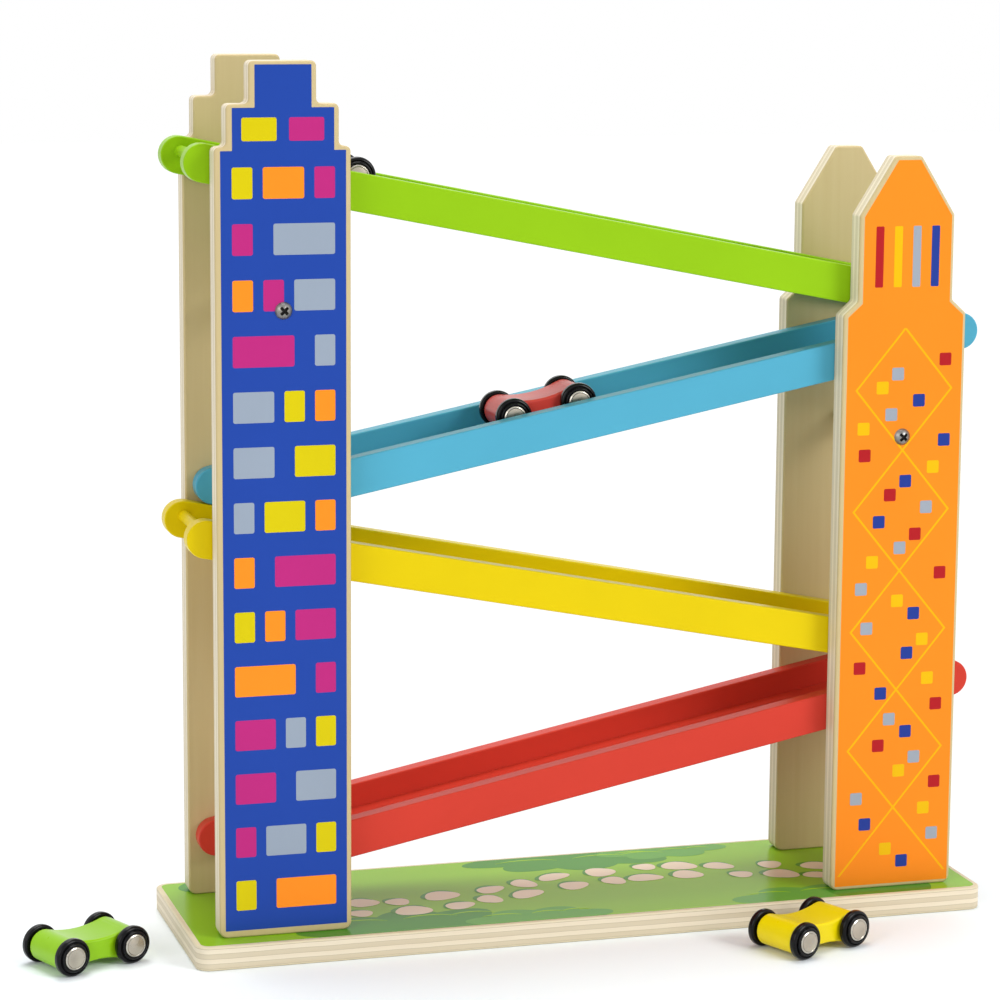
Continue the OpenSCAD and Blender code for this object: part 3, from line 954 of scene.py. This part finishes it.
def board_print():
    """The board's print: a meadow with bushes along both long edges, and a winding path of flat stones."""
    margin = 2.6 * MM
    x0, y0 = board_low[:2] + margin
    x1, y1 = board_high[:2] - margin
    meadow = rounded_rectangle(x0, x1, y0, y1, board_corner - margin)
    parts = [(on_board(meadow, 0), meadow_ink), *bushes(y0, y1), *stone_path()]
    piece("board_print", parts)


def board():
    """The plywood board, with a shallow cup in its underside round each screw's head."""
    x0, y0 = board_low[:2]
    x1, y1 = board_high[:2]
    outline = rounded_rectangle(x0, x1, y0, y1, board_corner)
    screw_low, screw_high = [np.array(corner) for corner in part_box("base_screws")]
    head_r = 3.9 * MM
    apart = 40 * MM
    cup_depth = 0.5 * MM
    rows = screw_low[1] + head_r, screw_high[1] - head_r
    columns = [x + side * apart / 2 for x in (left_middle, right_middle) for side in (-1, 1)]
    cups = [(x, y, head_r, cup_depth) for x in columns for y in rows]
    surface = slab(outline, board_low[2], board_high[2], board_ease, FLAT, cups=cups)
    piece("base_board_wood", [(surface, board_ply)], replaces=["base_board"])


def rail_ends(node):
    """Centres of a rail's low and high round ends in X and Z, from its box."""
    low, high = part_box(node)
    left, right = low[0] + rail_r, high[0] - rail_r
    low_x, high_x = (left, right) if abs(high[0]) > abs(low[0]) else (right, left)
    return np.array([low_x, low[2] + rail_r]), np.array([high_x, high[2] - rail_r])


def rail(name, side, run, up_slope, up, low_end):
    """One rail: a strip with round ends and softened edges, lying along its track."""
    node = f"{name}_track_{side}_rail"
    low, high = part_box(node)
    outline = arcs([
        (run, 0, rail_r, -math.pi / 2, math.pi / 2),
        (0, 0, rail_r, math.pi / 2, math.pi * 3 / 2),
    ], 25)
    # Thickness counts from the back on a track that is high on the right, else from the front
    start = high[1] if up_slope[0] > 0 else low[1]
    place = axes((low_end[0], start, low_end[1]), (up_slope[0], 0, up_slope[1]), (up[0], 0, up[1]))
    surface = slab(outline, 0, high[1] - low[1], rail_ease, place)
    piece(f"{node}_painted", [(surface, track_paint[name])], replaces=[node])


def track_floor(name, run, up_slope, up, low_end):
    """A floor plank: its section, with a tongue at each side in the rails' grooves, drawn along the slope.

    Between the plank's top and a rail is a fine joint, as deep as the tongue lies under the top."""
    half_w = channel_w / 2
    top = rail_r - channel_depth
    joint = 0.2 * MM
    joint_depth = 1.2 * MM
    end_ease = 0.25 * MM
    tongue_top = top - joint_depth
    right_half = [
        (half_w + seat_in_rail, top - floor_t, 0.1 * MM),
        (half_w + seat_in_rail, tongue_top, 0.1 * MM),
        (half_w - joint, tongue_top, 0.05 * MM),
        (half_w - joint, top, floor_ease),
    ]
    rim = section(right_half + [(-x, z, radius) for x, z, radius in right_half[::-1]], 5)
    from_low_end = (drop_length - rail_r) / abs(up_slope[0])
    until = run - stop_r - floor_stop_gap
    place = axes((low_end[0], 0, low_end[1]), (0, np.sign(up_slope[0]), 0), (up[0], 0, up[1]))
    surface = slab(rim, from_low_end, until, end_ease, place)
    surface = surface._replace(grain=surface.grain[:, [2, 0, 1]])
    node = f"{name}_track_floor"
    piece(f"{node}_painted", [(surface, track_paint[name])], replaces=[node])


def track_stop(name, up_slope, up, high_end):
    """The dowel across a track's high end, in the track's paint."""
    middle = high_end + stop_rise * up
    in_rail = 5 * MM
    place = axes((middle[0], 0, middle[1]), (0, 0, 1), (1, 0, 0))
    tower = "right" if up_slope[0] > 0 else "left"
    parts = [(lathe(rod_profile(stop_r, channel_w / 2 + in_rail), place, 40), track_paint[name])]
    piece(f"{name}_track_stop", parts, replaces=[f"{tower}_track_stops"])


def tracks():
    """The four tracks, each of two rails, a floor plank and a stop. Up is square to a track's slope."""
    for name in TRACK_PAINTS:
        low_end, high_end = rail_ends(f"{name}_track_front_rail")
        run = np.linalg.norm(high_end - low_end)
        up_slope = (high_end - low_end) / run
        up = np.sign(up_slope[0]) * np.array([-up_slope[1], up_slope[0]])
        for side in ("front", "back"):
            rail(name, side, run, up_slope, up, low_end)
        track_floor(name, run, up_slope, up, low_end)
        track_stop(name, up_slope, up, high_end)


def cross_rods():
    """The bare rods between the panels."""
    for tower, x in (("left", left_middle), ("right", right_middle)):
        node = f"{tower}_cross_rod"
        low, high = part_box(f"{tower}_cross_rod")
        profile = rod_profile((high[2] - low[2]) / 2, (high[1] - low[1]) / 2)
        surface = lathe(profile, axes((x, 0, screw_z[tower]), (0, 0, 1), (1, 0, 0)), 48)
        piece(f"{node}_wood", [(surface, bare_dowel)], replaces=[node])


def body_outline():
    """A car body's side outline: two round ends joined by hollow flanks, which touch them smoothly.

    The flanks' radius follows from their depth at the waist, and the arcs meet on the line between
    their centres."""
    half_base = wheelbase / 2
    waist = body_waist_h / 2
    flank_r = (half_base ** 2 + waist ** 2 - body_end_r ** 2) / (2 * (body_end_r - waist))
    far = waist + flank_r
    reach = math.atan2(far, -half_base)
    lean = math.atan2(far, half_base)
    return arcs([
        (half_base, 0, body_end_r, -reach, reach),
        (0, far, flank_r, -lean, lean - math.pi),
        (-half_base, 0, body_end_r, math.pi - reach, math.pi + reach),
        (0, -far, flank_r, math.pi - lean, lean),
    ], 21)


def wheel_profile():
    """A wheel's section: a boss, the tyre with round shoulders, a groove, a ring and the cap's seat."""
    boss_end = body_w / 2 + boss_gap
    groove = 0.7 * MM
    groove_floor = flank_out - 0.4 * MM
    small = 0.08 * MM
    return section([
        (axle_r, boss_end, small),
        (boss_r, boss_end, small),
        (boss_r, flank_in, small),
        (wheel_r, flank_in, 1.2 * MM),
        (wheel_r, flank_out, 1.6 * MM),
        (ring_r + groove, flank_out, 0.25 * MM),
        (ring_r + groove / 2, groove_floor, 0.15 * MM),
        (ring_r, groove_floor, small),
        (ring_r, ring_face, 0.55 * MM),
        (cap_r + cap_play, ring_face, 0.4 * MM),
        (cap_r + cap_play, cap_seat, small),
        (axle_r, cap_seat, small),
    ], 6)


def cap_profiles():
    """A cap's three sections: the bright rim with its wall and bevel, the gently domed face inside it, and
    the bottom of the groove between them, in a darker nickel that is painted shade."""
    face = ring_face + cap_out
    wall_top = face - 0.62 * MM
    rim_top = face - 0.22 * MM
    rim_r = cap_r - 0.7 * MM
    small = 0.05 * MM
    rim = section([
        (axle_r, cap_seat, small),
        (cap_r, cap_seat, 0.1 * MM),
        (cap_r, wall_top, 0.25 * MM),
        (rim_r, rim_top, 0.2 * MM),
        (rim_r - 0.25 * MM, rim_top - 0.2 * MM, small),
        (axle_r, rim_top - 0.25 * MM, small),
    ], 5)
    groove = 0.36 * MM
    face_r = rim_r - groove
    rise = 0.34 * MM
    dome_r = (face_r ** 2 + rise ** 2) / (2 * rise)
    tilt = math.asin(face_r / dome_r)
    dome, dome_out = arcs([(0, face - dome_r, dome_r, math.pi / 2 - tilt, math.pi / 2)], 9)
    dome[-1, 0] = 0
    below = rim_top - 0.4 * MM
    solid = np.concatenate([[[0, below], [face_r, below], [face_r, below]], [dome[0]], dome])
    out = np.concatenate([[[0, -1], [0, -1], [1, 0], [1, 0]], dome_out])
    bottom = rim_top - 0.16 * MM
    sunk = corners([(face_r, below), (rim_r, below), (rim_r, bottom), (face_r, bottom)], 0.03 * MM, 3)
    return rim, (solid, out), sunk


def car(name):
    """One car: its painted body, and on each axle two wheels and two caps; its pins are the solids' own."""
    front = joints[f"{name}_car_front_axle_turn"]
    rear = joints[f"{name}_car_rear_axle_turn"]
    front_at, rear_at = np.array(front["pos_m"]), np.array(rear["pos_m"])
    ahead = front_at - rear_at
    ahead /= np.linalg.norm(ahead)
    up = np.cross(ahead, front["axis"])
    place = axes((front_at + rear_at) / 2, ahead, up)
    surface = slab(body_outline(), -body_w / 2, body_w / 2, body_ease, place)
    node = f"{name}_car_body"
    piece(f"{node}_painted", [(surface, car_paint[name])], f"{name}_car", [node])
    for end, at in (("front", front_at), ("rear", rear_at)):
        stem = f"{name}_car_{end}"
        body = f"{stem}_wheelset"
        to_side = {"left": axes(at, up, ahead), "right": axes(at, ahead, up)}
        for side, place in to_side.items():
            wheel = lathe(wheel_profile(), place, 64)
            node = f"{stem}_{side}_wheel"
            piece(f"{node}_turned", [(wheel, black)], body, [node])
        caps = []
        # The groove's darker nickel is painted shade
        for profile, nickel_kind in zip(cap_profiles(), (bright_nickel, nickel, groove_shade_nickel)):
            caps += [(lathe(profile, place, 48), nickel_kind) for place in to_side.values()]
        piece(f"{stem}_caps_pressed", caps, body, [f"{stem}_caps"])


def carried_over():
    """Finishes of the solids that stay as they are: screws, pegs and axle pins."""
    head_zinc = pan_head_zinc("zinc pan heads with painted recess shade")
    for node, cad in frame["nodes"].items():
        if node == "rod_screws":
            material = head_zinc
        elif node == "base_screws" or node.endswith("axle"):
            material = zinc
        elif node == "track_pegs":
            material = bare_dowel
        else:
            continue
        cad.data.materials.clear()
        cad.data.materials.append(material)


tower_panels()
windowed_print()
ornamented_print()
board()
board_print()
tracks()
cross_rods()
for name in CAR_PAINTS:
    car(name)
carried_over()


def placed(thing, turn, place):
    """Puts a lamp, the camera or the floor in the scene, with the columns of turn as its axes."""
    made = bpy.data.objects.new(thing.name, thing)
    bpy.context.scene.collection.objects.link(made)
    matrix = np.eye(4)
    matrix[:3] = np.column_stack([turn, place])
    made.matrix_world = Matrix(matrix.tolist())
    return made


def studio():
    """A pale floor that fades into a white room, and three large soft lamps.

    Things are lit by less than the white that the camera and mirrors see, so that the lamps shape them."""
    scene = bpy.context.scene
    scene.view_settings.view_transform = "Standard"
    world = bpy.data.worlds.new("white room")
    scene.world = world
    world.use_nodes = True
    room = Nodes(world.node_tree)
    background = world.node_tree.nodes["Background"]
    background.inputs["Color"].default_value = WHITE
    falling = 0.54
    room.feed(background.inputs["Strength"], room.shown() * (1 - falling) + falling)

    def lamp(name, place, aim, size, power):
        light = bpy.data.lights.new(name, "AREA")
        light.shape = "DISK"
        light.size = size
        light.energy = power
        look = np.subtract(aim, place)
        look /= np.linalg.norm(look)
        side = np.cross(look, (0, 0, 1))
        side /= np.linalg.norm(side)
        placed(light, np.column_stack([side, np.cross(side, look), -look]), place)

    lamp("key lamp", (1.35, -1.6, 1.25), (0, 0, 0.15), 1.1, 26)
    lamp("fill lamp", (-1.6, -1.2, 1.0), (0, 0, 0.2), 1.4, 11)
    lamp("top lamp", (-0.05, 0.5, 2.1), (0, 0, 0.1), 1.4, 29)

    floor_half = 6.0
    mesh = bpy.data.meshes.new("floor")
    rim = [(x * floor_half, y * floor_half, 0) for x, y in ((-1, -1), (1, -1), (1, 1), (-1, 1))]
    mesh.from_pydata(rim, [], [(0, 1, 2, 3)])
    finish = Finish("floor paper", roughness=0.9, emission_strength=1.0)
    where = finish.object()
    away = finish.node("ShaderNodeVectorMath", {"operation": "LENGTH"}, {0: where}, output="Value")
    behind = finish.parts(where)[1]

    def fade(distance, near, far):
        return finish.node("ShaderNodeMapRange", {"interpolation_type": "SMOOTHSTEP"},
                           {"Value": distance, "From Min": near, "From Max": far})

    # The floor turns white all round and, sooner, behind the toy
    ends = fade(away, 0.26, 0.62)
    share = ends.math("MAXIMUM", fade(behind, 0.03, 0.09)) * finish.shown()
    finish.set("Base Color", finish.mix(share, (0.91, 0.96, 0.99, 1), BLACK))
    finish.set("Emission Color", finish.mix(share, BLACK, WHITE))
    mesh.materials.append(finish.material)
    floor = placed(mesh, np.eye(3), (0, 0, 0))


def camera():
    """The camera at the photograph's place, turn and lens, for an image of 1000 by 1000 pixels."""
    sensor = 36.0
    focal_px = 3347.755
    image_px = 1000.0
    yaw, pitch, roll = (math.radians(a) for a in (16.3525, 9.7137, 0.3817))
    place = (-0.49458, -1.55715, 0.48839)
    look = np.array([math.sin(yaw) * math.cos(pitch), math.cos(yaw) * math.cos(pitch), -math.sin(pitch)])
    level = np.array([math.cos(yaw), -math.sin(yaw), 0.0])
    upward = np.cross(level, look)
    side = math.cos(roll) * level + math.sin(roll) * upward
    up = -math.sin(roll) * level + math.cos(roll) * upward
    data = bpy.data.cameras.new("camera")
    data.sensor_width = sensor
    data.lens = sensor * focal_px / image_px
    data.clip_end = 30.0
    bpy.context.scene.camera = placed(data, np.column_stack([side, up, -look]), place)


studio()
camera()
